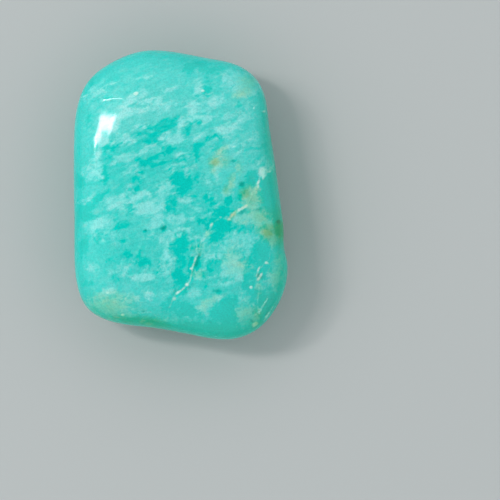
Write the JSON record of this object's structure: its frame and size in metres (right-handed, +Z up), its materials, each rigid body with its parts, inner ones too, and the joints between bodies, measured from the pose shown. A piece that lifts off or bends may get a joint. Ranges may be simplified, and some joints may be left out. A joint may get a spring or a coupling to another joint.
{
  "type": "tumbled amazonite stone",
  "caption": "Flat, rounded tumble-polished stone with a smooth domed face, soft edges and a flat spot underneath to rest on.",
  "frame": {"origin": "centre of the stone's box seen from above, on the surface it rests on", "axes": "+Z up through the stone's thin way, +Y along its length, +X across it"},
  "size_m": [0.0192, 0.026, 0.0079],
  "materials": {
    "amazonite": "polished"
  },
  "bodies": {
    "root": {"amazonite_stone": "amazonite"}
  },
  "joints": []
}
